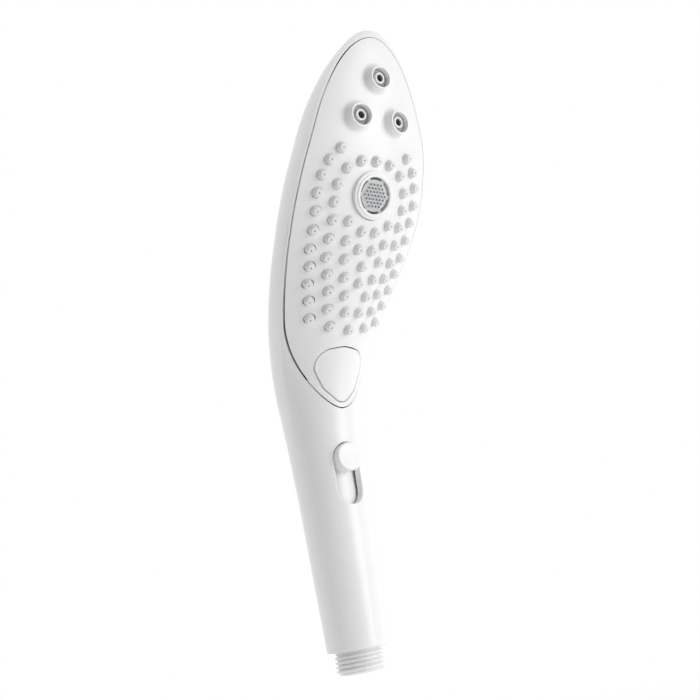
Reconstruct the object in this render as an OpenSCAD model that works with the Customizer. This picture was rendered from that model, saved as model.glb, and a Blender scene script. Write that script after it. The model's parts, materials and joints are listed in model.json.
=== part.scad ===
// Handheld shower head: a round handle with a G1/2 hose thread, a flow slider and a select button, and a
// leaf-shaped head with soft nozzles, a centre spray disc and three jets. Millimetres.
// The origin is the centre of the hose thread's end face. +Z runs up the handle, and the spray face looks
// towards -Y.

/* [Handle] */
// Radius of the handle at its lower end
handle_r = 13.3; // [12.8:0.1:14]
// Growth of the handle's radius for each mm of height
handle_taper = 0.0325; // [0.028:0.0005:0.034]
// Height of the handle's lower edge
handle_z = 9.7; // [9.5:0.1:10.5]
// Wall of the handle and of the head's rear shell
wall = 2.4; // [2:0.1:2.6]

/* [Head] */
// Height of the head's tip
head_top_z = 260.5; // [259:0.5:262]
// Wall of the face plate
plate_wall = 2.4; // [2:0.1:2.6]
// Lowest point of the face plate
plate_low_z = 111; // [110:0.5:112]
// Highest point of the face plate
plate_top_z = 257.3; // [256.5:0.1:257.5]

/* [Sprays] */
// Radius of a soft nozzle at its root
nozzle_root_r = 2.4; // [2.2:0.05:2.5]
// Radius of a soft nozzle at its tip
nozzle_tip_r = 1.9; // [1.6:0.05:2]
// Height of a soft nozzle over the face
nozzle_h = 2; // [1.5:0.1:2.2]
// Height of the centre of the fine spray disc
centre_z = 192; // [191:0.5:193]
// Radius of the fine spray disc
disc_r = 7; // [6.8:0.1:7.2]
// Radius of each jet's collar
collar_r = 5; // [4.8:0.1:5.2]
// Height of each jet's collar over the face
collar_h = 3.7; // [3:0.1:4]

/* [Controls] */
// Travel of the select button
button_travel = 2.5; // [2:0.1:2.8]
// Travel of the flow slider
slider_travel = 13.6; // [12:0.1:13.8]
// Radius of the flow slider's knob
knob_r = 6.3; // [6:0.1:6.4]
// Height of the middle of the slider's slot
slot_z = 83; // [82:0.5:84]

/* [Hose thread] */
// Outside radius of the G1/2 thread
thread_r = 10.4775; // [10.4775]
// Pitch of the thread, 14 turns to the inch
thread_pitch = 1.814; // [1.814]
// Radius of the waterway through the connector
inlet_r = 6; // [5:0.5:6.5]

/* [Hidden] */
$fn = 48;
white = "white";
light_grey = "lightgrey";
mid_grey = "darkgrey";
steel = "silver";
rubber = "dimgrey";
gap = 0.15;

// ---------- The body's surface: horizontal slices, each with a bulged front and a deeper back ----------

function handle_row(z) = let (r = handle_r + handle_taper * (z - handle_z)) [z, r, 0, r, r];

// Height, half width, y of the widest line, bulge of the front and depth of the back
slices = [
    handle_row(handle_z), handle_row(40), handle_row(75),
    [95, 16.3, -0.4, 15.9, 17.4],
    [110, 17.6, -2, 16.1, 19.4],
    [125, 20.2, -6, 16.4, 21.8],
    [140, 23.6, -13.3, 16.7, 24.3],
    [155, 28, -24, 16.9, 26.6],
    [170, 31.8, -37, 14.7, 29],
    [185, 33.9, -50, 11.4, 31.4],
    [200, 34.3, -60.5, 8.6, 33.8],
    [215, 34, -69, 6.6, 35.5],
    [230, 33.6, -74.2, 6, 36.5]];
last = len(slices) - 1;
// Heights where the head's outline starts to close towards the tip and the plate's towards its low end
tip_from_z = 182;
back_from_z = 195;
low_from_z = 150;
// The handle's circle turns into the head's section between these heights
blend_from_z = 95;
blend_to_z = 150;
front_power = 0.9;
back_power = 2.6;

function slope(i) = let (a = max(i - 1, 0), b = min(i + 1, last))
    (slices[b] - slices[a]) / (slices[b][0] - slices[a][0]);
function span(z, i = 0) = (i == last - 1 || z < slices[i + 1][0]) ? i : span(z, i + 1);
function slice(z) = z > slices[last][0] ? slices[last] + slope(last) * (z - slices[last][0])
    : let (i = span(z), h = slices[i + 1][0] - slices[i][0], t = (z - slices[i][0]) / h)
        (1 + 2 * t) * (1 - t) * (1 - t) * slices[i] + t * (1 - t) * (1 - t) * h * slope(i)
        + t * t * (3 - 2 * t) * slices[i + 1] + t * t * (t - 1) * h * slope(i + 1);
function smooth(a, b, z) = let (t = min(max((z - a) / (b - a), 0), 1)) t * t * (3 - 2 * t);
function closing(z, from, to) = let (t = (z - from) / (to - from)) t <= 0 ? 1 : t >= 1 ? 0 : sqrt(1 - t * t);
function front_exp(z) = 0.5 + (front_power - 0.5) * smooth(blend_from_z, blend_to_z, z);
function back_exp(z) = 2 + (back_power - 2) * smooth(blend_from_z, blend_to_z, z);
// A wall that leans takes more depth along Y than its thickness
function lean(z) = 1 + 0.25 * smooth(blend_from_z, blend_to_z, z);

// Half width of the whole body, and y of its front surface
function half_w(z, top = head_top_z) = slice(z)[1] * closing(z, tip_from_z, top);
function front_depth(z) = slice(z)[3] * closing(z, tip_from_z, head_top_z);
function front_y(x, z) = let (s = 1 - pow(min(abs(x) / half_w(z), 1), 2))
    slice(z)[2] - front_depth(z) * pow(s, front_exp(z));
// Half width of the face plate, which closes above and below, and y of its edge
function plate_w(z) = half_w(z, plate_top_z) * closing(z, low_from_z, plate_low_z);
function edge_y(z) = front_y(plate_w(z), z);
function face_point(x, z) = [x, front_y(x, z), z];
// Unit direction out of the face
function face_normal(x, z) = let (e = 0.5,
        gx = (front_y(x + e, z) - front_y(x - e, z)) / (2 * e),
        gz = (front_y(x, z + e) - front_y(x, z - e)) / (2 * e), n = [0.6 * gx, -1, gz]) n / norm(n);

// Places children with their +Z along n at p
module place(p, n) translate(p) rotate([0, acos(n[2]), atan2(n[1], n[0])]) children();
module on_face(x, z) place(face_point(x, z), face_normal(x, z)) children();

// ---------- Lofts ----------

// One horizontal slice of the body, drawn in by t
function section(z, t, top, n) = let (s = slice(z), k = lean(z), c = closing(z, tip_from_z, top),
        w = s[1] * c - t, f = s[3] * c - t * k, b = s[4] * closing(z, back_from_z, top) - t * k)
    [for (i = [0 : n - 1]) let (a = 360 * i / n, u = cos(a), v = sin(a), p = 2 / back_exp(z))
        v >= 0 ? [w * u, s[2] - f * pow(v, 2 * front_exp(z)), z]
            : [w * sign(u) * pow(abs(u), p), s[2] + b * pow(-v, p), z]];

module loft(rings) {
    n = len(rings[0]);
    m = len(rings);
    points = [for (r = rings) each r];
    sides = [for (j = [0 : m - 2], i = [0 : n - 1]) let (k = (i + 1) % n, a = j * n, b = a + n)
        each [[a + i, a + k, b + k], [a + i, b + k, b + i]]];
    bottom = [for (i = [n - 1 : -1 : 0]) i];
    top = [for (i = [0 : n - 1]) (m - 1) * n + i];
    polyhedron(points, concat(sides, [bottom, top]), convexity = 8);
}

body_sides = 40;
module body(t, from, top) {
    rise = [for (z = [blend_from_z : 7.25 : tip_from_z]) z];
    crown = [for (a = [0 : 9 : 81]) tip_from_z + (top - tip_from_z) * sin(a)];
    heights = concat([from, 40, 75], rise, [for (z = crown) if (z > tip_from_z + 3) z], [top - 0.3]);
    loft([for (z = heights) section(z, t * closing(z, 200, top), top, body_sides)]);
}

// A block behind part of the face: x and y limits are functions of height
module face_block(z0, z1, rows, cols, half, outer, inner) {
    zs = [for (i = [0 : rows]) (z0 + z1) / 2 - (z1 - z0) / 2 * cos(180 * i / rows)];
    xs = [for (j = [0 : cols]) -cos(180 * j / cols)];
    n = cols + 1;
    m = rows + 1;
    points = [for (z = zs, u = xs) let (x = u * half(z)) [x, outer(x, z), z]];
    back = [for (z = zs, u = xs) let (x = u * half(z)) [x, inner(x, z), z]];
    front_faces = [for (i = [0 : rows - 1], j = [0 : cols - 1]) let (a = i * n + j)
        each [[a, a + n, a + 1], [a + 1, a + n, a + n + 1]]];
    back_faces = [for (t = front_faces) [for (k = [2 : -1 : 0]) t[k] + n * m]];
    // The rim, once round the grid
    rim = concat([for (j = [0 : cols]) j], [for (i = [1 : rows]) i * n + cols],
        [for (j = [cols - 1 : -1 : 0]) rows * n + j], [for (i = [rows - 1 : -1 : 1]) i * n]);
    rim_faces = [for (k = [0 : len(rim) - 1]) let (a = rim[k], b = rim[(k + 1) % len(rim)])
        each [[a, b, a + n * m], [b, b + n * m, a + n * m]]];
    polyhedron(concat(points, back), concat(front_faces, back_faces, rim_faces), convexity = 8);
}

// ---------- Layout of the face ----------

// Right half of the nozzle pattern, from the outer column in: [x, height]
outer_column = [[17.5, 148.5], [19.5, 155], [21.5, 161], [22.5, 167], [24, 173], [24.5, 179.5], [25, 186],
    [25.5, 192.5], [24.5, 199], [22, 204.5], [17.5, 209]];
middle_column = [[9, 144.5], [11.5, 151], [13, 157.5], [15, 163.5], [17, 169.5], [17.5, 176], [17.5, 182.5],
    [18, 189], [17.5, 195.5], [14, 201.5], [7.5, 204.5]];
inner_column = [[3.5, 149.5], [5.5, 155.5], [7.5, 162], [9, 168.5], [10, 175], [10.5, 182]];
core_column = [[3.5, 172], [3.5, 178.5]];
middle_heights = [143, 160, 166, 205];
half_pattern = concat(outer_column, middle_column, inner_column, core_column);
nozzles = concat(half_pattern, [for (p = half_pattern) [-p[0], p[1]]], [for (z = middle_heights) [0, z]]);
jets = [[0, 238.7], [-9.8, 222], [9.8, 222]];

mat_from_z = 139.8;
mat_to_z = 214;
mat_wall = 1;
mat_gap = 0.3;
mat_inset = 5;

// Frame of the spray unit: +Z out of the face at the centre spray, +Y up the face
unit_tilt = 28;
module in_unit() translate(face_point(0, centre_z)) rotate([90 + unit_tilt, 0, 0]) children();

// Frame of the button: +Z out of the face at the button's middle
button_z = 125;
button_tilt = 24;
module in_button() translate(face_point(0, button_z)) rotate([90 + button_tilt, 0, 0]) children();

// Outline of the button in x and height: three rounded corners with bulging sides
button_spots = [[-6.3, 129.8, 6], [6.3, 129.8, 6], [0, 118.8, 4.8], [0, 126.2, 10.2]];
module button_outline(grow = 0) hull() for (s = button_spots)
    translate([s[0], s[1]]) circle(r = s[2] + grow, $fn = 40);
// Draws an outline of the face through the button's frame, along the way it is pressed
module along_button(z0, z1) in_button() translate([0, 0, z0]) linear_extrude(z1 - z0)
    scale([1, 1 / cos(button_tilt)]) translate([0, -button_z]) children();
module along_y(y0, y1) translate([0, y1, 0]) rotate([90, 0, 0]) linear_extrude(y1 - y0) children();

// Outline of the slider's slot in x and height
slot_r = knob_r + 0.4;
slot_l = slider_travel + 2 * slot_r;
module slot_outline(grow = 0) hull() for (s = [-1, 1])
    translate([0, slot_z + s * slider_travel / 2]) circle(r = slot_r + grow, $fn = 32);

module ring(r1, r0, h) difference() {
    cylinder(r = r1, h = h);
    translate([0, 0, -1]) cylinder(r = r0, h = h + 2);
}
module torus(r, wire) rotate_extrude() translate([r, 0]) circle(r = wire, $fn = 24);

// ---------- Casing ----------

connector_r = 11.2;
connector_z = 26;

module rear_shell() color(white) difference() {
    body(0, handle_z, head_top_z);
    body(wall, connector_z, head_top_z - wall);
    // Seat of the face plate, and the opening behind it
    face_block(plate_low_z - gap, plate_top_z + gap, 26, 10,
        function(z) half_w(min(z, plate_top_z), plate_top_z)
            * closing(z, low_from_z, plate_low_z - 2 * gap) + gap,
        function(x, z) -140, function(x, z) edge_y(min(max(z, plate_low_z), plate_top_z)) + 0.55);
    face_block(plate_low_z + 3, plate_top_z - 4, 26, 10,
        function(z) max(plate_w(z) - 3, 0.5), function(x, z) -141, function(x, z) edge_y(z) + 4);
    along_y(-20, -9) slot_outline();
    // Seat of the connector and bore of the handle
    translate([0, 0, handle_z - 1]) cylinder(r = connector_r + 0.05, h = connector_z - handle_z + 2);
}

module face_plate() color(white) difference() {
    union() {
        face_block(plate_low_z + 0.1, plate_top_z - 0.1, 34, 14, function(z) plate_w(z) - 0.02,
            function(x, z) front_y(x, z),
            function(x, z) min(front_y(x, z) + plate_wall * lean(z), edge_y(z) + 0.4));
        for (j = jets) on_face(j[0], j[1]) {
            translate([0, 0, -0.8]) cylinder(r1 = collar_r + 2.2, r2 = collar_r, h = 2.6);
            translate([0, 0, 1.7]) cylinder(r = collar_r, h = collar_h - 1.7);
        }
    }
    for (p = nozzles) on_face(p[0], p[1]) translate([0, 0, -5])
        cylinder(r = nozzle_root_r + gap, h = 8, $fn = 24);
    for (j = jets) on_face(j[0], j[1]) translate([0, 0, -6]) cylinder(r = jet_cup_r + 0.05, h = 12);
    on_face(0, centre_z) translate([0, 0, -6]) cylinder(r = centre_ring_r - 1.2, h = 12);
    along_button(-12, 12) button_outline(0.35);
}

// ---------- Sprays ----------

module nozzle_mat() color(light_grey) difference() {
    union() {
        face_block(mat_from_z, mat_to_z, 14, 8, function(z) plate_w(z) - mat_inset,
            function(x, z) front_y(x, z) + plate_wall * lean(z) + mat_gap,
            function(x, z) front_y(x, z) + (plate_wall + mat_wall) * lean(z) + mat_gap);
        for (p = nozzles) on_face(p[0], p[1]) translate([0, 0, -plate_wall - 0.8])
            cylinder(r1 = nozzle_root_r, r2 = nozzle_tip_r, h = plate_wall + 0.8 + nozzle_h, $fn = 24);
    }
    on_face(0, centre_z) translate([0, 0, -8]) cylinder(r = centre_ring_r - 1.1, h = 12);
}

centre_ring_r = 10.3;
centre_ring_h = 1.6;
module centre_ring() color(white) on_face(0, centre_z) difference() {
    union() {
        translate([0, 0, 0.05]) cylinder(r = centre_ring_r, h = centre_ring_h - 0.05);
        translate([0, 0, -5]) cylinder(r = centre_ring_r - 1.25, h = 6);
    }
    translate([0, 0, -0.6]) cylinder(r = disc_r + 0.8, h = 4);
    translate([0, 0, -6]) cylinder(r = disc_r - 0.6, h = 8);
}

// A hexagonal field of fine holes, with six lugs that hold the disc in its ring
hole_pitch = 1.75;
module centre_jet_disc() color(mid_grey) on_face(0, centre_z) difference() {
    union() {
        translate([0, 0, -0.58]) cylinder(r = disc_r - 0.3, h = 1.8);
        for (a = [0 : 60 : 300]) rotate(a) translate([disc_r - 1, -0.8, -0.58]) cube([1.75, 1.6, 1.2]);
    }
    for (q = [-3 : 3], r = [-3 : 3]) if (abs(q + r) <= 3)
        translate([hole_pitch * (q + r / 2), hole_pitch * r * sqrt(3) / 2, -2])
            cylinder(r = 0.5, h = 5, $fn = 16);
}

jet_cup_r = 4.1;
jet_tip_r = 2.4;
module jet_cups() color(mid_grey) for (j = jets) on_face(j[0], j[1]) translate([0, 0, -2.6])
    ring(jet_cup_r, jet_tip_r + 0.02, 4);
module jet_tips() color(white) for (j = jets) on_face(j[0], j[1]) translate([0, 0, -3.2])
    ring(jet_tip_r, 1.6, 5.8);

// The spray unit's levels behind the face, and its outline as circles [x, up the face, radius]
unit_front = -13.5;
unit_back = -18;
unit_spots = [[0, -42, 9], [0, -5, 20], [0, 41, 12]];
screw_spots = [[-9, -20], [9, -20], [-13, 8], [13, 8], [0, 36]];
jet_feeds = [[0, 49], [-9.8, 32.5], [9.8, 32.5]];
module unit_outline(grow = 0) hull() for (s = unit_spots)
    translate([s[0], s[1]]) circle(r = s[2] + grow, $fn = 32);
module unit_slab(z0, z1, grow = 0) translate([0, 0, z0]) linear_extrude(z1 - z0) unit_outline(grow);

module spray_manifold() color(light_grey) in_unit() difference() {
    union() {
        unit_slab(unit_back, unit_front);
        translate([0, 0, unit_front - 1]) cylinder(r = 8.4, h = 7.2);
        for (j = jet_feeds) translate([j[0], j[1], unit_front - 1]) cylinder(r = 3.2, h = 2);
        // Ring wall round the nozzles' water space
        translate([0, -22, unit_front - 1]) ring(14, 12, 3);
    }
    translate([0, 0, unit_back - 1]) cylinder(r = 6, h = 20);
    for (j = jet_feeds) translate([j[0], j[1], unit_back - 1]) cylinder(r = 1.7, h = 20);
    for (a = [22.5 : 45 : 360]) translate([0, -22, unit_back - 1]) rotate(a) translate([5.6, 0])
        cylinder(r = 1.6, h = 9);
    for (s = screw_spots) translate([s[0], s[1], unit_back - 1]) cylinder(r = screw_r + 0.02, h = 4.6);
}

gasket_h = 1.2;
module manifold_gasket() color(rubber) in_unit() difference() {
    unit_slab(unit_back - gasket_h, unit_back - 0.02, -0.5);
    translate([0, 0, unit_back - 2]) linear_extrude(4) unit_outline(-3);
}

chamber_front = unit_back - gasket_h - 0.02;
chamber_back = chamber_front - 7;
// Middle of the duct between the selector and the chamber, and its direction
duct_foot = [0, -7, 137];
duct_n = [0, -0.6, 0.8];

module water_chamber() color(white) difference() {
    union() {
        difference() {
            union() {
                in_unit() unit_slab(chamber_back, chamber_front);
                in_button() translate([0, 0, -27]) cylinder(r = 11.5, h = 13);
                place(duct_foot, duct_n) cylinder(r = 8, h = 30);
            }
            in_unit() unit_slab(chamber_back + 2, chamber_front + 1, -3);
            in_button() translate([0, 0, -25]) cylinder(r = 9.5, h = 12);
            place(duct_foot, duct_n) translate([0, 0, 4]) cylinder(r = 6, h = 22);
        }
        in_unit() for (s = screw_spots) translate([s[0], s[1], chamber_back]) cylinder(r = 2.8, h = 7);
        // Socket of the water tube
        translate([tube_x, tube_y, tube_top_z - 8]) cylinder(r = tube_r + 2, h = 14);
    }
    // Nothing of it stands in front of the gasket or of the selector's cover
    in_unit() translate([-50, -60, chamber_front]) cube([100, 120, 30]);
    in_button() translate([-20, -20, cover_level - 0.05]) cube([40, 40, 20]);
    in_button() translate([0, 0, -28]) cylinder(r = axle_r + 0.02, h = 4);
    in_button() translate([0, 0, -24.9]) cylinder(r = 9.5, h = 12);
    for (s = screw_spots) in_unit() translate([s[0], s[1], chamber_back - 1])
        cylinder(r = screw_r + 0.05, h = 9);
    translate([tube_x, tube_y, tube_top_z - 9]) cylinder(r = tube_r + 0.05, h = 9.1);
    translate([tube_x, tube_y, tube_top_z - 9]) cylinder(r = tube_bore_r, h = 20);
}

screw_r = 1.2;
module chamber_screws() color(steel) in_unit() for (s = screw_spots)
    translate([s[0], s[1], chamber_back - 1.82]) {
        cylinder(r = 2.6, h = 1.8);
        translate([0, 0, 1]) cylinder(r = screw_r, h = 12.2);
    }

// ---------- Selector ----------

axle_r = 1.5;
// Levels behind the face along the button's axis
disc_level = -24;
cover_level = -13.9;
// Heights of the disc's ribs and of its hub over its back
rib_top = 5.6;
hub_h = 7;
module selector_disc() color(light_grey) in_button() translate([0, 0, disc_level]) difference() {
    union() {
        cylinder(r = 9, h = 4);
        for (a = [0 : 60 : 300]) rotate(a) translate([4.3, -0.6, 3]) cube([3.4, 1.2, rib_top - 3]);
        cylinder(r = 3, h = hub_h);
    }
    translate([0, 0, -1]) cylinder(r = axle_r + 0.04, h = 10);
    for (a = [30 : 120 : 270]) rotate(a) translate([6, 0, -1]) cylinder(r = 1.8, h = 6);
}
module selector_axle() color(steel) in_button() translate([0, 0, -26.9]) cylinder(r = axle_r, h = 9.6);
module selector_seals() color(rubber) in_button() for (a = [30 : 120 : 270])
    rotate(a) translate([6, 0, -24.98]) ring(2.6, 1.6, 0.8);
module selector_cover() color(light_grey) in_button() translate([0, 0, cover_level]) difference() {
    cylinder(r = 11.4, h = 1.5);
    translate([0, 0, -1]) cylinder(r = pusher_r + 0.3, h = 4);
    rotate(30) translate([3.9, -1.2, -1]) cube([3, 2.4, 4]);
}

// ---------- Button ----------

button_wall = 2.6;
module select_button() color(white) intersection() {
    face_block(112, 138, 12, 8, function(z) 15, function(x, z) front_y(x, z),
        function(x, z) front_y(x, z) + button_wall);
    along_button(-12, 12) button_outline();
}
pusher_r = 2.4;
pusher_top = -2.95;
// The pusher and its finger stop short of the disc when the button is pressed
clear = button_travel + 0.2;
pusher_level = disc_level + hub_h + clear;
finger_level = disc_level + rib_top + clear;
flange_level = -7;
module button_pusher() color(light_grey) in_button() {
    translate([0, 0, pusher_level]) cylinder(r = pusher_r, h = pusher_top - pusher_level);
    translate([0, 0, flange_level]) cylinder(r = 6.2, h = 1.5);
    // Finger that comes down to the selector's ribs
    rotate(30) translate([4.5, -0.7, finger_level]) cube([1.6, 1.4, flange_level + 0.7 - finger_level]);
}
module button_spring() color(steel) in_button() translate([0, 0, cover_level + 1.52])
    ring(4.2, 3.4, flange_level - cover_level - 1.54);

// ---------- Water path in the handle ----------

valve_z = slot_z;
valve_x0 = -9.6;
valve_x1 = 2.4;
plug_r = 4.7;
seal_groove = 1.3;
seal_wire = 0.48;
module along_x(x0, x1, r) translate([x0, tube_y, valve_z]) rotate([0, 90, 0]) cylinder(r = r, h = x1 - x0);
// Groove for a seal in a round outside of radius r
module seal_cut(r) translate([0, 0, -seal_groove / 2]) ring(r + 2, r - 2 * seal_wire, seal_groove);

tube_x = -3.6;
tube_y = 2.4;
tube_r = 6;
tube_bore_r = 4.3;
tube_top_z = 119;
spigot_r = 8.95;
spigot_z = 37.5;
upper_seal_z = tube_top_z - 4;
lower_seal_z = 39.6;
module water_tube() color(white) difference() {
    union() {
        translate([tube_x, tube_y, 55]) cylinder(r = tube_r, h = tube_top_z - 55.05);
        along_x(valve_x0, valve_x1, plug_r + 1.6);
        translate([0, 0, 42]) cylinder(r = 9.5, h = 15);
        translate([0, 0, connector_top_z + 0.05]) cylinder(r = 11, h = 2);
        translate([0, 0, spigot_z]) cylinder(r = spigot_r, h = 8);
    }
    translate([0, 0, 36]) cylinder(r = 7, h = 19);
    translate([tube_x, tube_y, 54]) cylinder(r = tube_bore_r, h = 80);
    along_x(valve_x0 + 1.6, valve_x1 + 1, plug_r + 0.05);
    translate([tube_x, tube_y, upper_seal_z]) seal_cut(tube_r);
    translate([0, 0, lower_seal_z]) seal_cut(spigot_r);
}
module tube_o_rings() color(rubber) {
    translate([tube_x, tube_y, upper_seal_z]) torus(tube_r - seal_wire, seal_wire - 0.02);
    translate([0, 0, lower_seal_z]) torus(spigot_r - seal_wire, seal_wire - 0.02);
}

rack_module = 0.8;
gear_teeth = 24;
gear_r = rack_module * gear_teeth / 2;
rack_pitch = PI * rack_module;
rack_y = tube_y - gear_r;
rack_x0 = 3.4;
rack_w = 2.6;
module flow_spindle() color(light_grey) difference() {
    union() {
        along_x(valve_x0 + 1.9, valve_x1, plug_r);
        along_x(valve_x1 - 0.5, rack_x0 + rack_w, 2.5);
        translate([rack_x0, tube_y, valve_z]) rotate([0, 90, 0]) rotate([0, 0, 180]) gear_sector(rack_w);
    }
    translate([tube_x, tube_y, valve_z - 8]) cylinder(r = 3.2, h = 16);
    for (x = plug_seals) translate([x, tube_y, valve_z]) rotate([0, 90, 0]) seal_cut(plug_r);
}
plug_seals = [valve_x0 + 2.9, valve_x1 - 1];
// Toothed quarter of the spindle, in its own frame with its first tooth on +X and its last on +Y
module gear_sector(h) linear_extrude(h) {
    circle(r = 4);
    intersection() {
        circle(r = gear_r - 1);
        polygon([[0, 0], [14, -3], [14, 14], [-3, 14]]);
    }
    for (i = [0 : 6]) rotate(i * 360 / gear_teeth) polygon([[gear_r - 1.2, -0.85], [gear_r, -0.52],
        [gear_r + 0.65, -0.28], [gear_r + 0.65, 0.28], [gear_r, 0.52], [gear_r - 1.2, 0.85]]);
}
module spindle_o_rings() color(rubber) for (x = plug_seals)
    translate([x, tube_y, valve_z]) rotate([0, 90, 0]) torus(plug_r - seal_wire, seal_wire - 0.02);
module valve_gland() color(mid_grey) translate([valve_x1 + 0.05, tube_y, valve_z]) rotate([0, 90, 0])
    ring(6, 2.55, 0.7);

// The carriage is a strip of tube under the handle's skin: its floor closes the slot over the whole travel
carriage_r = 11.8;
carriage_wall = 1.6;
carriage_l = slot_l + slider_travel + 3;
module slider_carriage() color(white) {
    intersection() {
        translate([0, 0, slot_z - slot_l / 2 - 1.5]) ring(carriage_r, carriage_r - carriage_wall, carriage_l);
        translate([-8, -14, 0]) cube([16, 14, 200]);
    }
    difference() {
        translate([rack_x0, rack_y - 2.4, slot_z - 3]) cube([rack_w, 3, 20]);
        for (i = [-1 : 6]) translate([rack_x0 - 1, rack_y, slot_z + i * rack_pitch]) rotate([90, 0, 90])
            linear_extrude(rack_w + 2) polygon([[1, -1], [1, 1], [0, 0.72], [-0.95, 0.45], [-0.95, -0.45],
                [0, -0.72]]);
    }
}
knob_z = slot_z + slider_travel / 2;
knob_h = 6;
module slider_knob() color(white) translate([0, -carriage_r - 0.02, knob_z]) rotate([90, 0, 0])
    cylinder(r = knob_r, h = knob_h);

// ---------- Inlet ----------

connector_bore_z = 15;
connector_top_z = 42;
connector_seal_z = 30;
thread_root_r = 9.3;
module inlet_connector() color(white) difference() {
    union() {
        // Four crests of the thread, each a flat-topped ring
        rotate_extrude() polygon([[0, 0], [thread_root_r, 0],
            each [for (i = [0 : 3]) let (z = 1.2 + i * thread_pitch) each [[thread_root_r, z],
                [thread_r, z + 0.55], [thread_r, z + 1.05], [thread_root_r, z + 1.6]]],
            [thread_root_r, handle_z], [0, handle_z]]);
        translate([0, 0, 9]) cylinder(r = 11, h = 3);
        translate([0, 0, handle_z + 0.05]) cylinder(r = connector_r, h = connector_top_z - handle_z - 0.05);
    }
    translate([0, 0, -1]) cylinder(r = inlet_r, h = 60);
    translate([0, 0, connector_bore_z]) cylinder(r = 9, h = 40);
    translate([0, 0, connector_seal_z]) seal_cut(connector_r);
}
module connector_o_ring() color(rubber) translate([0, 0, connector_seal_z])
    torus(connector_r - seal_wire, seal_wire - 0.02);
insert_r = 8.8;
strainer_h = 1.2;
regulator_h = 4;
module strainer() color(steel) translate([0, 0, connector_bore_z + 0.02]) difference() {
    cylinder(r = insert_r, h = strainer_h);
    for (x = [-3 : 3], y = [-3 : 3]) if (x * x + y * y < 12)
        translate([x * 1.6, y * 1.6, -1]) cylinder(r = 0.55, h = 4, $fn = 16);
}
regulator_z = connector_bore_z + strainer_h + 0.05;
module flow_regulator() color(mid_grey) translate([0, 0, regulator_z]) difference() {
    cylinder(r = insert_r, h = regulator_h);
    translate([0, 0, -1]) cylinder(r = 3, h = 6);
    for (a = [0 : 45 : 315]) rotate(a) translate([5.8, 0, -1]) cylinder(r = 1.2, h = 6);
}
cage_z = regulator_z + regulator_h + 0.05;
poppet_rod_r = 1.55;
module check_valve_cage() color(light_grey) translate([0, 0, cage_z]) {
    difference() {
        cylinder(r = insert_r, h = 16);
        translate([0, 0, -1]) cylinder(r = 5, h = 4);
        translate([0, 0, 2]) cylinder(r = 7.6, h = 15);
    }
    translate([0, 0, 13]) ring(2.6, poppet_rod_r + 0.06, 3);
    for (a = [0 : 90 : 270]) rotate(a) translate([2.3, -0.6, 14]) cube([5.6, 1.2, 2]);
}
module check_valve_poppet() color(white) translate([0, 0, cage_z + 2.05]) {
    cylinder(r = 6.2, h = 2);
    cylinder(r = poppet_rod_r, h = 12.2);
}
module check_valve_spring() color(steel) translate([0, 0, cage_z + 4.1]) ring(3.4, 2.6, 8.8);

rear_shell();
face_plate();
nozzle_mat();
centre_ring();
centre_jet_disc();
jet_cups();
jet_tips();
spray_manifold();
manifold_gasket();
water_chamber();
chamber_screws();
selector_disc();
selector_axle();
selector_seals();
selector_cover();
select_button();
button_pusher();
button_spring();
water_tube();
tube_o_rings();
slider_knob();
slider_carriage();
flow_spindle();
spindle_o_rings();
valve_gland();
inlet_connector();
connector_o_ring();
strainer();
flow_regulator();
check_valve_cage();
check_valve_poppet();
check_valve_spring();
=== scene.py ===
"""Looks for the handheld shower head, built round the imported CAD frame.

Lengths here are in millimetres in the frame's own axes: +Z up the handle, the spray face towards -Y.
They turn into metres when a mesh is made.
"""

import json
from math import acos, asin, ceil, cos, degrees, hypot, pi, radians, sin, sqrt

import bmesh
import bpy
import numpy as np
from mathutils import Matrix, Vector
from mathutils.geometry import delaunay_2d_cdt


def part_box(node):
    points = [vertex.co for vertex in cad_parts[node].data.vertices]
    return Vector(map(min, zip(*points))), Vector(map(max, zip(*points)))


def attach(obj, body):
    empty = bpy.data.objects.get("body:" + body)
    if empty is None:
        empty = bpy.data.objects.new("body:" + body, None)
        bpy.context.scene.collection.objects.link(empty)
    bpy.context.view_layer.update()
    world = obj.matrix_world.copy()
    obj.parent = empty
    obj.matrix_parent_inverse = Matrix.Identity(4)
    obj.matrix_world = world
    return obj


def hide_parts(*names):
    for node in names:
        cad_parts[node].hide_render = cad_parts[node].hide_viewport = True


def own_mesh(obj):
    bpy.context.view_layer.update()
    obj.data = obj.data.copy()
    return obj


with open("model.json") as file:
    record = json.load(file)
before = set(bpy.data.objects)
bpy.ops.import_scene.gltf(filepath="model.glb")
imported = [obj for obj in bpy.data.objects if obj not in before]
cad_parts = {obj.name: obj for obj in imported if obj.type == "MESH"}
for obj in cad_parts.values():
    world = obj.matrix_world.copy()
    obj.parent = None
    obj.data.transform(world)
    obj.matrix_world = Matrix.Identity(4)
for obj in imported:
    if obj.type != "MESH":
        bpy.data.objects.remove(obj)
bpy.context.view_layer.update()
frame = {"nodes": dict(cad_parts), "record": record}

MM = 0.001


# ---------- The body's surface, as the CAD has it ----------

HANDLE_R = 13.3                               # radius at the handle's lower end
HANDLE_TAPER = 0.0325                         # radius gained per millimetre of height
HANDLE_Z = 9.7                                # height of the handle's lower end
HEAD_TOP = 260.2
PLATE_LOW = 111                               # the face plate's lower and upper ends
PLATE_TOP = 257.3
TIP_FROM, BACK_FROM, LOW_FROM = 182, 195, 150   # where the tip, the back and the plate's low end begin
BLEND_FROM, BLEND_TO = 95, 150                # between these the handle's round section turns into the head's


def handle_row(z):
    """A row of SLICES in the handle, which is a plain cone."""
    r = HANDLE_R + HANDLE_TAPER * (z - HANDLE_Z)
    return (z, r, 0, r, r)


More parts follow.
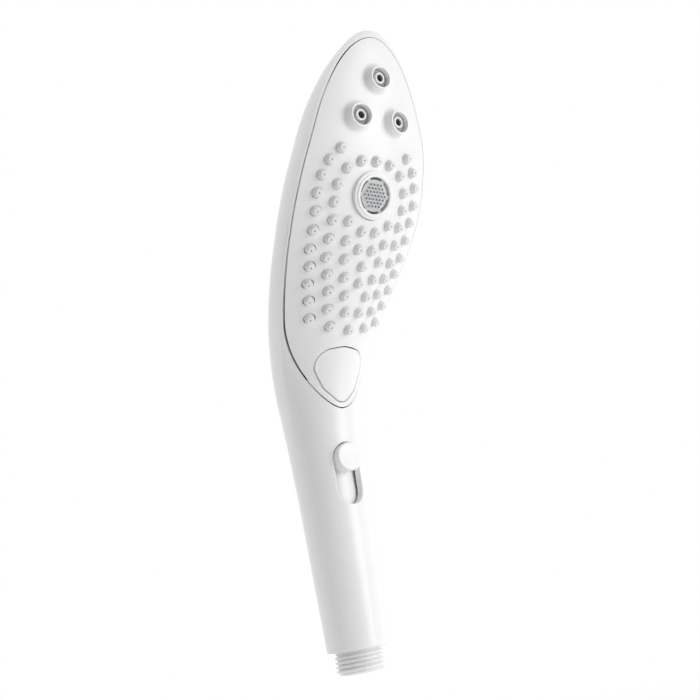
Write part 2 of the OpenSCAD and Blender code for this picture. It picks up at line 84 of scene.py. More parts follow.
# Height, half width, y of the widest line, bulge of the front and depth of the back
SLICES = np.array([
    handle_row(HANDLE_Z), handle_row(40), handle_row(75),
    (95, 16.3, -0.4, 15.9, 17.4),
    (110, 17.6, -2, 16.1, 19.4),
    (125, 20.2, -6, 16.4, 21.8),
    (140, 23.6, -13.3, 16.7, 24.3),
    (155, 28, -24, 16.9, 26.6),
    (170, 31.8, -37, 14.7, 29),
    (185, 33.9, -50, 11.4, 31.4),
    (200, 34.3, -60.5, 8.6, 33.8),
    (215, 34, -69, 6.6, 35.5),
    (230, 33.6, -74.2, 6, 36.5)])


def slope(i):
    """How fast each column of SLICES changes with height, at row i."""
    a, b = max(i - 1, 0), min(i + 1, len(SLICES) - 1)
    return (SLICES[b] - SLICES[a]) / (SLICES[b][0] - SLICES[a][0])


def section_at(z):
    """Half width, y of the widest line, front bulge and back depth at a height."""
    last = len(SLICES) - 1
    if z > SLICES[last][0]:
        return (SLICES[last] + slope(last) * (z - SLICES[last][0]))[1:]
    i = int(np.clip(np.searchsorted(SLICES[:, 0], z, "right") - 1, 0, last - 1))
    h = SLICES[i + 1][0] - SLICES[i][0]
    t = (z - SLICES[i][0]) / h
    return ((1 + 2 * t) * (1 - t) ** 2 * SLICES[i] + t * (1 - t) ** 2 * h * slope(i)
            + t * t * (3 - 2 * t) * SLICES[i + 1] + t * t * (t - 1) * h * slope(i + 1))[1:]


def smooth(a, b, z):
    """A soft step from 0 at a to 1 at b."""
    t = min(max((z - a) / (b - a), 0), 1)
    return t * t * (3 - 2 * t)


def closing(z, start, end):
    """A quarter of an ellipse, from 1 at the start to 0 at the end."""
    t = (z - start) / (end - start)
    return 1 if t <= 0 else 0 if t >= 1 else sqrt(1 - t * t)


def eased(start, end, angles):
    """Heights from start to end, closer together as a round end closes. The angles are in degrees."""
    return [start + (end - start) * sin(radians(a)) for a in angles]


def front_exp(z):
    return 0.5 + 0.4 * smooth(BLEND_FROM, BLEND_TO, z)


def back_exp(z):
    return 2 + 0.6 * smooth(BLEND_FROM, BLEND_TO, z)


def half_w(z, top=HEAD_TOP):
    return section_at(z)[0] * closing(z, TIP_FROM, top)


def front_y(x, z):
    _, mid_y, bulge, _ = section_at(z)
    side = 1 - min(abs(x) / max(half_w(z), 1e-6), 1) ** 2
    return mid_y - bulge * closing(z, TIP_FROM, HEAD_TOP) * side ** front_exp(z)


def plate_w(z):
    """Half width of the face plate's opening in the shell."""
    return half_w(z, PLATE_TOP) * closing(z, LOW_FROM, PLATE_LOW)


def on_front(x, z):
    return Vector((x, front_y(x, z), z))


def front_normal(x, z, across=1.0):
    """Direction out of the face. The CAD turns its nozzles by only part of the slope across."""
    e = 0.25
    gx = (front_y(x + e, z) - front_y(x - e, z)) / (2 * e)
    gz = (front_y(x, z + e) - front_y(x, z - e)) / (2 * e)
    return Vector((across * gx, -1, gz)).normalized()


def nozzle_normal(x, z):
    return front_normal(x, z, 0.6)


# ---------- Mesh tools ----------

SHARP = radians(38)      # edges sharper than this are shaded as edges


def add_object(name, points, faces, material, body, slot, stands_for=()):
    """Makes a piece of the visual model, which rides on a body and may stand for CAD nodes."""
    mesh = bpy.data.meshes.new(name)
    mesh.from_pydata([Vector(p) * MM for p in points], [], faces)
    bm = bmesh.new()
    bm.from_mesh(mesh)
    for face in bm.faces:
        face.smooth = True
    for edge in bm.edges:
        edge.smooth = not edge.is_manifold or edge.calc_face_angle(0) < SHARP
    bm.to_mesh(mesh)
    bm.free()
    piece = bpy.data.objects.new(name, mesh)
    bpy.context.collection.objects.link(piece)
    mesh.materials.append(material)
    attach(piece, body)
    if stands_for:
        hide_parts(*stands_for)
    return piece


def boundary_loops(faces):
    """Loops of vertices round the openings of a skin, with its material on their left."""
    edges = {(f[i], f[(i + 1) % len(f)]) for f in faces for i in range(len(f))}
    after = {a: b for a, b in edges if (b, a) not in edges}
    loops = []
    while after:
        start = min(after)
        loop = [start]
        step = after.pop(start)
        while step != start:
            loop.append(step)
            step = after.pop(step)
        loops.append(loop)
    return loops


def lip(points, normals, faces, loop, profile):
    """Adds rings round an opening. Each is (how far into the opening, height over the skin)."""
    sides = []
    for i, v in enumerate(loop):
        along = points[loop[(i + 1) % len(loop)]] - points[loop[i - 1]]
        sides.append(along.cross(normals[v]).normalized())
    ring = loop
    for inward, height in profile:
        first = len(points)
        for v, side in zip(loop, sides):
            points.append(points[v] + side * inward + normals[v] * height)
            normals.append(normals[v])
        new = list(range(first, first + len(loop)))
        for i in range(len(loop)):
            k = (i + 1) % len(loop)
            faces.append((ring[k], ring[i], new[i], new[k]))
        ring = new
    return ring


def thicken(points, normals, faces, wall, profile_for):
    """Makes a closed solid of a skin: a lip round every opening, and an inner skin."""
    skin = list(faces)
    count = len(points)
    behind = {}
    for loop in boundary_loops(skin):
        middle = sum((points[v] for v in loop), Vector()) / len(loop)
        behind.update(zip(loop, lip(points, normals, faces, loop, profile_for(middle))))
    for v in range(count):
        if v not in behind:
            behind[v] = len(points)
            points.append(points[v] - normals[v] * wall)
            normals.append(normals[v])
    faces.extend(tuple(behind[v] for v in reversed(face)) for face in skin)


def inside(polygon, spots):
    """Which of the spots lie within a polygon."""
    x, y = spots[:, 0], spots[:, 1]
    found = np.zeros(len(spots), bool)
    for (x0, y0), (x1, y1) in zip(polygon, np.roll(polygon, -1, axis=0)):
        if y0 != y1:
            crosses = (y0 > y) != (y1 > y)
            found ^= crosses & (x < (x1 - x0) * (y - y0) / (y1 - y0) + x0)
    return found


def fill(outline, holes, pitch):
    """Triangles between an outline and its holes, with a field of even points inside."""
    loops = [np.array(loop, float) for loop in [outline] + holes]
    low, high = loops[0].min(axis=0), loops[0].max(axis=0)
    row_h = pitch * sqrt(3) / 2
    field = np.array([(low[0] + pitch * (i + 0.5 * (j % 2)), low[1] + row_h * j)
                      for j in range(ceil((high[1] - low[1]) / row_h) + 1)
                      for i in range(ceil((high[0] - low[0]) / pitch) + 1)])
    edge_points = np.vstack(loops)
    keep = inside(loops[0], field)
    for hole in loops[1:]:
        keep &= ~inside(hole, field)
    for loop in loops:
        for start, end in zip(loop, np.roll(loop, -1, axis=0)):
            run = end - start
            t = np.clip((field - start) @ run / (run @ run), 0, 1)
            keep &= ((field - start - t[:, None] * run) ** 2).sum(axis=1) > (0.55 * pitch) ** 2
    everything = np.vstack([edge_points, field[keep]])
    edges, first = [], 0
    for loop in loops:
        n = len(loop)
        edges += [(first + i, first + (i + 1) % n) for i in range(n)]
        first += n
    made = delaunay_2d_cdt([Vector(p) for p in everything], edges, [], 0, 1e-5)
    spots = np.array([tuple(p) for p in made[0]])
    triangles = np.array([tuple(f) for f in made[2]])
    middles = spots[triangles].mean(axis=1)
    good = inside(loops[0], middles)
    for hole in loops[1:]:
        good &= ~inside(hole, middles)
    a, b, c = (spots[triangles[:, k]] for k in range(3))
    area = (b[:, 0] - a[:, 0]) * (c[:, 1] - a[:, 1]) - (b[:, 1] - a[:, 1]) * (c[:, 0] - a[:, 0])
    turned = np.where(area[:, None] > 0, triangles, triangles[:, ::-1])
    return spots, [tuple(int(v) for v in t) for t in turned[good]], [list(o) for o in made[3]]


def frame_on(origin, out):
    """Local axes with +Z along out, +X level."""
    across = Vector((0, 0, 1)).cross(out)
    across = across.normalized() if across.length > 1e-6 else Vector((1, 0, 0))
    up = out.cross(across)
    turn = Matrix((across, up, out)).transposed().to_4x4()
    return Matrix.Translation(origin) @ turn


def turned(name, profile, places, material, body, slot, stands_for=(), sides=32, ring=False):
    """A lathe shape at each place. A ring's profile closes on itself, another's ends on the axis."""
    points, faces = [], []
    for place in places:
        rows = []
        for r, z in profile:
            if r < 1e-6:
                rows.append([len(points)] * sides)
                points.append(place @ Vector((0, 0, z)))
            else:
                rows.append(list(range(len(points), len(points) + sides)))
                points += [place @ Vector((r * cos(2 * pi * k / sides), r * sin(2 * pi * k / sides), z))
                           for k in range(sides)]
        pairs = list(zip(rows, rows[1:] + rows[:1])) if ring else list(zip(rows, rows[1:]))
        for low, high in pairs:
            for k in range(sides):
                n = (k + 1) % sides
                face = [low[k], low[n], high[n], high[k]]
                faces.append(tuple(dict.fromkeys(face)))
    return add_object(name, points, [f for f in faces if len(f) > 2], material, body, slot, stands_for)


def fillet(r, z, radius, start, end, steps=4):
    """Points of a quarter round about (r, z), from one angle to another in degrees."""
    return [(r + radius * cos(radians(start + (end - start) * i / steps)),
             z + radius * sin(radians(start + (end - start) * i / steps))) for i in range(steps + 1)]


# ---------- Materials ----------

def new_material(name, color, roughness, grain, bump, specular=0.5, coat=0.0, stretch=(1, 1, 1)):
    """A moulded or drawn surface: slight mottling in colour and gloss, and a fine grain."""
    material = bpy.data.materials.new(name)
    material.use_nodes = True
    nodes, links = material.node_tree.nodes, material.node_tree.links
    shader = nodes["Principled BSDF"]
    shader.inputs["Specular IOR Level"].default_value = specular
    shader.inputs["Coat Weight"].default_value = coat
    shader.inputs["Coat Roughness"].default_value = 0.12
    place = nodes.new("ShaderNodeTexCoord")
    mapping = nodes.new("ShaderNodeMapping")
    mapping.inputs["Scale"].default_value = stretch
    links.new(place.outputs["Object"], mapping.inputs["Vector"])

    def noise(scale, detail):
        node = nodes.new("ShaderNodeTexNoise")
        node.inputs["Scale"].default_value = scale
        node.inputs["Detail"].default_value = detail
        links.new(mapping.outputs["Vector"], node.inputs["Vector"])
        return node

    clouds = noise(35, 2)
    tint = nodes.new("ShaderNodeMix")
    tint.data_type = "RGBA"
    tint.inputs["A"].default_value = (*[c * 0.985 for c in color], 1)
    tint.inputs["B"].default_value = (*[min(c * 1.01, 1) for c in color], 1)
    links.new(clouds.outputs["Fac"], tint.inputs["Factor"])
    links.new(tint.outputs["Result"], shader.inputs["Base Color"])
    gloss = nodes.new("ShaderNodeMapRange")
    gloss.inputs["To Min"].default_value = roughness * 0.88
    gloss.inputs["To Max"].default_value = roughness * 1.12
    links.new(noise(140, 3).outputs["Fac"], gloss.inputs["Value"])
    links.new(gloss.outputs["Result"], shader.inputs["Roughness"])
    relief = nodes.new("ShaderNodeBump")
    relief.inputs["Strength"].default_value = bump
    relief.inputs["Distance"].default_value = 0.0001
    links.new(noise(grain, 3).outputs["Fac"], relief.inputs["Height"])
    links.new(relief.outputs["Normal"], shader.inputs["Normal"])
    return material


WHITE = new_material("white_abs", (0.85, 0.85, 0.855), 0.3, 2600, 0.06, coat=0.1)
GREY = new_material("grey_plastic", (0.55, 0.56, 0.57), 0.42, 2600, 0.12)
SILICONE = new_material("grey_silicone", (0.76, 0.765, 0.77), 0.5, 3200, 0.2, specular=0.4)
JET_GREY = new_material("grey_matte", (0.36, 0.365, 0.38), 0.5, 3200, 0.2)
# Painted shade: a dark matte for the inserts in the jets' bores, standing for the darkness down the holes.
PAINTED_BORE_SHADE = new_material("painted_bore_shade", (0.16, 0.163, 0.17), 0.55, 3200, 0.2)
RUBBER = new_material("dark_rubber", (0.03, 0.03, 0.032), 0.65, 3200, 0.35, specular=0.3)
STEEL = new_material("drawn_steel", (0.6, 0.6, 0.61), 0.28, 1800, 0.2, stretch=(1, 1, 0.05))
STEEL.node_tree.nodes["Principled BSDF"].inputs["Metallic"].default_value = 1
BY_SLOT = {"white_abs": WHITE, "grey_plastic": GREY, "grey_silicone": SILICONE, "grey_matte": JET_GREY,
           "dark_rubber": RUBBER, "steel": STEEL}
for entry in frame["record"]["subparts"]:
    for held in frame["nodes"][entry["node"]].material_slots:
        held.material = BY_SLOT[entry["material_slot"]]


# ---------- Outlines on the face ----------

def hull_outline(circles, grow=0.0, steps=120):
    """The outline of a band round some circles (x, height, r), going anticlockwise."""
    outline = []
    for k in range(steps):
        a = 2 * pi * k / steps
        x, z, r = max(circles, key=lambda c: c[0] * cos(a) + c[1] * sin(a) + c[2])
        outline.append((x + (r + grow) * cos(a), z + (r + grow) * sin(a)))
    return outline


def spread(outline, pitch):
    """The outline again, with its straight runs cut into lengths of about pitch."""
    points = []
    for (x0, z0), (x1, z1) in zip(outline, outline[1:] + outline[:1]):
        cuts = max(1, round(hypot(x1 - x0, z1 - z0) / pitch))
        points += [(x0 + (x1 - x0) * k / cuts, z0 + (z1 - z0) * k / cuts) for k in range(cuts)]
    return points


def circle(x, z, r, n):
    return [(x + r * cos(2 * pi * k / n), z + r * sin(2 * pi * k / n)) for k in range(n)]


BUTTON = [(-6.3, 129.8, 6), (6.3, 129.8, 6), (0, 118.8, 4.8), (0, 126.2, 10.2)]   # x, height, r
BUTTON_Z = 125
BUTTON_TILT = radians(24)
BUTTON_OUT = Vector((0, -cos(BUTTON_TILT), -sin(BUTTON_TILT)))
KNOB_R = 6.3
TRAVEL = 13.6            # of the slider
SLOT_Z = 83              # middle of the slider's slot
SLOT_R = KNOB_R + 0.4
SLOT = [(0, SLOT_Z - TRAVEL / 2, SLOT_R), (0, SLOT_Z + TRAVEL / 2, SLOT_R)]


# ---------- Rear shell and handle ----------

EDGE = 0.35      # round beside a gap
SEAM = 0.34      # gap between the shell and the face plate
SHELL_WALL = 1.8
SLOT_WALL = 2.6
PATCH_X, PATCH_Z = 10.5, 17.5      # half size of the shell's finer patch round the slot


def shell_heights():
    """Heights of the shell's rows of points."""
    low = list(np.linspace(HANDLE_Z + EDGE, PLATE_LOW, 90))
    belly = eased(LOW_FROM, PLATE_LOW, np.arange(87.5, 0, -2.5))
    middle = list(np.linspace(LOW_FROM, TIP_FROM, 24))
    upper = eased(TIP_FROM, PLATE_TOP, np.arange(1.5, 90, 1.5))
    plate_end = degrees(asin((PLATE_TOP - TIP_FROM) / (HEAD_TOP - TIP_FROM)))
    crown = eased(TIP_FROM, HEAD_TOP, np.linspace(plate_end, 89.5, 12))
    return low + belly + middle + upper + crown


def around(z, front_cols=10, back_cols=64):
    """Points round the shell at a height, from the seam's right side over the back to its left."""
    w, mid_y, bulge, back = section_at(z)
    w *= closing(z, TIP_FROM, HEAD_TOP)
    bulge *= closing(z, TIP_FROM, HEAD_TOP)
    back *= closing(z, BACK_FROM, HEAD_TOP)
    open_w = plate_w(z)
    start = acos(min(max(open_w - EDGE, 0) / w, 1)) if open_w > 0.05 else pi / 2
    p = 2 / back_exp(z)
    front = [start * (1 - k / front_cols) for k in range(front_cols)]
    right = [(w * cos(a), mid_y - bulge * sin(a) ** (2 * front_exp(z)), z) for a in front]
    behind = []
    for k in range(back_cols + 1):
        u, v = cos(pi * k / back_cols), sin(pi * k / back_cols)
        behind.append((w * np.sign(u) * abs(u) ** p, mid_y + back * max(v, 0) ** p, z))
    left = [(-x, y, h) for x, y, h in reversed(right)]
    return [Vector(q) for q in right + behind + left]


def seam_edge(wall):
    """Profile of the lip beside the seam, for the shell and the plate alike."""
    return [(0.3 * EDGE, -0.08 * EDGE), (0.5 * EDGE, -0.4 * EDGE), (0.5 * EDGE, -wall)]


def build_shell():
    """The handle and the head's back: rows of points, a finer patch round the slot, then the wall."""
    points, rows = [], []
    for z in shell_heights():
        ring = around(z)
        first = len(points)
        row = list(range(first, first + len(ring)))
        if ring[0].x < 0.05:
            ring.pop()
            row[-1] = first
        points += ring
        rows.append(row)
    faces = []
    in_slot = []
    for low, high in zip(rows, rows[1:]):
        for c in range(len(low) - 1):
            face = tuple(dict.fromkeys((low[c], low[c + 1], high[c + 1], high[c])))
            corners = [points[v] for v in face]
            near = all(abs(q.x) < PATCH_X and q.y < 0 and abs(q.z - SLOT_Z) < PATCH_Z for q in corners)
            (in_slot if near else faces).append(face)
    top = len(points)
    points.append(Vector((0, sum(points[v].y for v in rows[-1]) / len(rows[-1]), HEAD_TOP - 0.01)))
    faces += [(rows[-1][c], rows[-1][c + 1], top) for c in range(len(rows[-1]) - 1)]

    rim = boundary_loops(in_slot)[0]
    outline = [(points[v].x, points[v].z) for v in rim]
    hole = spread(hull_outline(SLOT, EDGE, 64), 1)
    spots, patch, origins = fill(outline, [hole], 1.1)
    index = {}
    for i, (x, z) in enumerate(spots):
        source = [o for o in origins[i] if o < len(rim)]
        index[i] = rim[source[0]] if source else len(points)
        if not source:
            points.append(on_front(x, z))
    faces += [tuple(index[v] for v in face) for face in patch]
    mesh_normals = vertex_normals(points, faces)

    def profile_for(middle):
        if middle.z < HANDLE_Z + 2 * EDGE:
            return [(0.55 * EDGE, -0.12 * EDGE), (EDGE, -EDGE), (EDGE, -SHELL_WALL)]
        if middle.z < PLATE_LOW:
            return [(0.3 * EDGE, -0.06 * EDGE), (0.7 * EDGE, -0.3 * EDGE), (EDGE, -EDGE), (EDGE, -SLOT_WALL)]
        return seam_edge(SHELL_WALL)

    thicken(points, mesh_normals, faces, SHELL_WALL, profile_for)
    add_object("shell", points, faces, WHITE, "casing", "white_abs", ("rear_shell",))


def vertex_normals(points, faces):
    """Normals of a skin, weighted by its faces' areas."""
    normals = [Vector() for _ in points]
    for face in faces:
        a, b, c = points[face[0]], points[face[1]], points[face[2]]
        out = (b - a).cross(c - a)
        if len(face) == 4:
            out += (c - a).cross(points[face[3]] - a)
        for v in face:
            normals[v] += out
    return [n.normalized() for n in normals]


# ---------- Face plate, sprays and button ----------

# The nozzles' places, as x and height: the right half's columns, from the rim inwards
OUTER = [(17.5, 148.5), (19.5, 155), (21.5, 161), (22.5, 167), (24, 173), (24.5, 179.5), (25, 186),
         (25.5, 192.5), (24.5, 199), (22, 204.5), (17.5, 209)]
MIDDLE = [(9, 144.5), (11.5, 151), (13, 157.5), (15, 163.5), (17, 169.5), (17.5, 176), (17.5, 182.5),
          (18, 189), (17.5, 195.5), (14, 201.5), (7.5, 204.5)]
INNER = [(3.5, 149.5), (5.5, 155.5), (7.5, 162), (9, 168.5), (10, 175), (10.5, 182)]
CORE = [(3.5, 172), (3.5, 178.5)]
HALF = OUTER + MIDDLE + INNER + CORE
NOZZLES = HALF + [(-x, z) for x, z in HALF] + [(0, z) for z in (143, 160, 166, 205)]
JETS = [(0, 238.7), (-9.8, 222), (9.8, 222)]
NOZZLE_ROOT, NOZZLE_TIP, NOZZLE_H = 2.25, 1.75, 2.4
COLLAR_R, COLLAR_H = 5.0, 3.7      # of a jet
SKIRT_R = 7.2                      # where a jet's collar starts to rise
CUP_R = 4.1                        # bore of a jet's collar
CENTRE_Z = 192
RING_R, DISC_R = 10.3, 7
PLATE_WALL = 2.2
FIT = 0.03                         # gap round what fills an opening
ROUND = 0.25                       # round of the openings' edges


def on_nozzle(x, z):
    """Axes on the face at a nozzle, with +Z out of it."""
    return frame_on(on_front(x, z), nozzle_normal(x, z))


def skin_of(outline, holes, pitch):
    """Points, normals and triangles of the front surface within an outline."""
    spots, faces, _ = fill(outline, holes, pitch)
    return [on_front(x, z) for x, z in spots], [front_normal(x, z) for x, z in spots], faces


def opening(x, z, r, n):
    """A circle round a nozzle's axis, as x and height."""
    place = on_nozzle(x, z)
    ring = [place @ Vector((u, v, 0)) for u, v in circle(0, 0, r, n)]
    return [(q.x, q.z) for q in ring]


def seam_curve():
    """The shell's edge of the seam in x and height, which starts its lip, going anticlockwise."""
    heights = eased(LOW_FROM, PLATE_LOW, np.arange(90, 0, -1.5))
    heights += list(np.linspace(LOW_FROM, TIP_FROM, 32))
    heights += eased(TIP_FROM, PLATE_TOP, np.arange(0.75, 90.1, 0.75))
    right = [(plate_w(z) - EDGE, z) for z in heights]
    right = [p for p in right if p[0] > 0.5]
    return right + [(-x, z) for x, z in reversed(right)]


def drawn_in(outline, distance):
    """An anticlockwise outline again, drawn in by a distance square to its run."""
    points = []
    for i, (x, z) in enumerate(outline):
        x0, z0 = outline[i - 1]
        x1, z1 = outline[(i + 1) % len(outline)]
        run = hypot(x1 - x0, z1 - z0)
        points.append((x - distance * (z1 - z0) / run, z + distance * (x1 - x0) / run))
    return points


def build_plate():
    """The face with its openings, and the three jets' collars, which rise from it."""
    button_gap = 0.32
    holes = [opening(x, z, NOZZLE_ROOT + FIT + ROUND, 24) for x, z in NOZZLES]
    holes += [opening(x, z, SKIRT_R, 40) for x, z in JETS]
    holes.append(opening(0, CENTRE_Z, RING_R + FIT, 72))
    holes.append(spread(hull_outline(BUTTON, button_gap + ROUND), 1))
    points, normals, faces = skin_of(drawn_in(seam_curve(), EDGE + SEAM), holes, 1.25)
    for i, point in enumerate(points):
        if abs(point.z - BUTTON_Z) < 13 and abs(point.x) < 14:
            normals[i] = BUTTON_OUT
    collar_out = SKIRT_R - COLLAR_R
    collar_in = SKIRT_R - CUP_R - FIT
    skirt = [(collar_out * t, COLLAR_H * 0.62 * t ** 2.6) for t in (0.2, 0.4, 0.6, 0.75, 0.87, 0.95, 1.0)]
    collar = [(collar_out, COLLAR_H - 0.35), (collar_out + 0.1, COLLAR_H - 0.1),
              (collar_out + 0.32, COLLAR_H), (collar_in - 0.25, COLLAR_H),
              (collar_in - 0.06, COLLAR_H - 0.08), (collar_in, COLLAR_H - 0.3), (collar_in, -PLATE_WALL)]

    def near_nozzle(middle):
        return any(hypot(middle.x - x, middle.z - z) < 1.2 for x, z in NOZZLES)

    def profile_for(middle):
        if any(hypot(middle.x - x, middle.z - z) < 1.5 for x, z in JETS):
            return skirt + collar
        if abs(middle.x) < 0.5 and abs(middle.z - CENTRE_Z) < 1.5:
            return [(0, -PLATE_WALL)]
        if hypot(middle.x, middle.z - BUTTON_Z) > 20 and not near_nozzle(middle):
            return seam_edge(PLATE_WALL)
        return [(0.45 * ROUND, -0.1 * ROUND), (ROUND, -ROUND), (ROUND, -PLATE_WALL)]

    thicken(points, normals, faces, PLATE_WALL, profile_for)
    add_object("spray_face", points, faces, WHITE, "casing", "white_abs", ("face_plate",))


def build_nozzles():
    """Soft cones with a lip below the tip and a small blind hole in it."""
    top = NOZZLE_H
    root = -3.2
    profile = [(0, root), (NOZZLE_ROOT, root), (NOZZLE_ROOT, 0.35), (NOZZLE_ROOT - 0.15, 0.55)]
    profile += [(NOZZLE_TIP + 0.1, top - 0.65), (NOZZLE_TIP - 0.12, top - 0.55)]
    profile += fillet(NOZZLE_TIP - 0.35, top - 0.2, 0.2, 8, 90, 4)
    profile += [(0.4, top), (0.34, top - 0.06), (0.3, top - 0.2), (0.3, top - 0.8), (0, top - 0.8)]
    turned("nozzles", profile, [on_nozzle(x, z) for x, z in NOZZLES], SILICONE, "casing", "grey_silicone",
           ("nozzle_mat",), sides=24)


def build_centre_ring():
    """A stepped ring, with a seat inside for the disc."""
    top, bottom, seat = 1.6, -4.8, -3.2
    step = 0.7
    soft = 0.35
    ring = [(RING_R - 1.4, bottom), (RING_R - 1.4, -PLATE_WALL), (RING_R, -PLATE_WALL)]
    ring += fillet(RING_R - 0.3, step, 0.3, 0, 75) + [(RING_R - 1.0, step + 0.4), (RING_R - 1.1, step + 0.4)]
    ring += fillet(RING_R - 1.1 - soft, top - soft, soft, 0, 90)
    ring += fillet(DISC_R + 0.8 + soft, top - soft, soft, 90, 180)
    ring += [(DISC_R + 0.8, seat), (DISC_R - 0.6, seat), (DISC_R - 0.6, bottom)]
    turned("centre_spray_ring", ring, [on_nozzle(0, CENTRE_Z)], WHITE, "casing", "white_abs",
           ("centre_ring",), 72, True)


def build_centre_disc():
    """A slightly domed disc with six lugs, and fine holes in a triangular grid, each with a rim."""
    place = on_nozzle(0, CENTRE_Z)
    wall, hole_r, pitch = 1.5, 0.58, 1.75
    lugs, half_lug = 6, 0.8 / DISC_R
    lug_r, edge_r = DISC_R + 0.72, DISC_R - 0.3

    def on_dome(x, y):
        return Vector((x, y, 1.15 - 0.008 * (x * x + y * y)))

    outline = []
    for k in range(lugs):
        a = k * 2 * pi / lugs
        outline += [(lug_r * cos(a + t), lug_r * sin(a + t)) for t in (-half_lug, 0, half_lug)]
        outline += [(edge_r * cos(a + t), edge_r * sin(a + t))
                    for t in np.linspace(half_lug, 2 * pi / lugs - half_lug, 9)]
    centres = [(pitch * (q + r / 2), pitch * r * sqrt(3) / 2)
               for q in range(-3, 4) for r in range(-3, 4) if abs(q + r) <= 3]
    spots, faces, _ = fill(outline, [circle(x, y, hole_r, 12) for x, y in centres], 0.9)
    dome = [place @ on_dome(x, y) for x, y in spots]
    normals = [place.to_3x3() @ Vector((0, 0, 1)) for _ in spots]
    thicken(dome, normals, faces, wall, lambda middle: [(0.05, -0.12), (0.05, -wall)])
    add_object("centre_spray_disc", dome, faces, GREY, "casing", "grey_matte", ("centre_jet_disc",))
    bosses = [place @ Matrix.Translation(on_dome(x, y)) for x, y in centres]
    boss = [(hole_r + 0.24, -0.1), (hole_r + 0.18, 0.35), (hole_r + 0.02, 0.35), (hole_r, -0.1)]
    turned("centre_spray_bosses", boss, bosses, SILICONE, "casing", "grey_matte", (), 16, True)


def build_jets():
    """In each jet's collar a grey cup, and in the cup a white tip whose bore is lined with a dark insert,
    which is painted shade for the deep hole.
    """
    places = [on_nozzle(x, z) for x, z in JETS]
    cup_foot, tip_foot = -2.6, -3.2
    tip_r, tip_bore = 2.4, 1.5
    cup = [(CUP_R, cup_foot), (CUP_R, 1.3)] + fillet(CUP_R - 0.12, 1.3, 0.12, 0, 90, 2)
    cup += [(tip_r + 0.35, 1.35), (tip_r + 0.05, 1.1), (tip_r + 0.05, cup_foot)]
    turned("jet_cup_liners", cup, places, JET_GREY, "casing", "grey_matte", ("jet_cups",), 40, True)
    tip = [(tip_r, tip_foot), (tip_r, 2.3)] + fillet(tip_r - 0.25, 2.35, 0.25, 0, 90, 3)
    tip += fillet(tip_bore + 0.3, 2.45, 0.15, 90, 180, 2) + [(tip_bore, 1.2), (tip_bore, tip_foot)]
    turned("jet_nozzles", tip, places, WHITE, "casing", "white_abs", ("jet_tips",), 40, True)
    # A dark cup in each tip's bore, closed a little way down, is painted shade for the deep hole.
    shade_r, shade_top, floor_z = tip_bore - 0.01, 2.1, 0.2
    bore_shade = [(shade_r, cup_foot), (shade_r, shade_top), (shade_r - 0.13, shade_top),
             (shade_r - 0.13, floor_z), (0, floor_z), (0, cup_foot)]
    turned("jet_bore_painted_shade", bore_shade, places, PAINTED_BORE_SHADE, "casing", "grey_matte", (), 24)


def build_button():
    """The button's cap, rounded off along its rim."""
    soft = 0.5
    cap_wall = 2.4
    points, _, faces = skin_of(spread(hull_outline(BUTTON, -soft), 0.8), [], 1)
    normals = [BUTTON_OUT] * len(points)
    profile = [(soft * t, -soft * (1 - sqrt(1 - t * t))) for t in (0.3, 0.55, 0.75, 0.9, 1.0)]
    thicken(points, normals, faces, cap_wall, lambda middle: profile + [(soft, -cap_wall)])
    add_object("select_button_cap", points, faces, WHITE, "button", "white_abs", ("select_button",))


# ---------- Slider ----------

KNOB_FOOT, KNOB_TOP = 11.2, 17.8      # distances from the handle's axis


def build_slider():
    """The slider's round thumb knob, hollowed a little for the thumb."""
    place = frame_on(Vector((0, 0, SLOT_Z + TRAVEL / 2)), Vector((0, -1, 0)))
    top = KNOB_TOP
    profile = [(0, KNOB_FOOT), (KNOB_R, KNOB_FOOT)]
    profile += fillet(KNOB_R - 0.8, top - 0.8, 0.8, 0, 90, 6)
    profile += [(KNOB_R - 1.5, top - 0.02), (KNOB_R - 3, top - 0.2), (2, top - 0.32), (0, top - 0.35)]
    turned("slider_thumb_knob", profile, [place], WHITE, "slider", "white_abs", ("slider_knob",), 72)


# ---------- Hose thread and inlet ----------

THREAD_R, ROOT_R, PITCH = 10.4775, 9.3, 1.814      # of a G1/2 thread
BORE_R, BORE_TOP = 6.0, 15.0
SOCKET_R = 9.0                                     # bore above the inlet, up to the water tube
STEM_R, STEM_TOP = 11.4, 41.9
GROOVE_R, GROOVE_LOW, GROOVE_HIGH = 10.44, 29.35, 30.65


def crest(t):
    """Height of a rounded trapezoid crest over the root, at t turns round its pitch, from 0 to 1."""
    d = abs(t - 0.5) * 2
    return 1 - smooth(0.28, 0.86, d)


def thread_radius(turn, z):
    """Radius of the threaded end at a share of a turn and a height. The thread fades out at both ends."""
    fade = smooth(0.3, 1.4, z) * (1 - smooth(8.3, 9.0, z))
    body = ROOT_R - 0.45 * (1 - smooth(0, 0.5, z))
    return body + (THREAD_R - ROOT_R) * fade * crest((z / PITCH - turn) % 1)


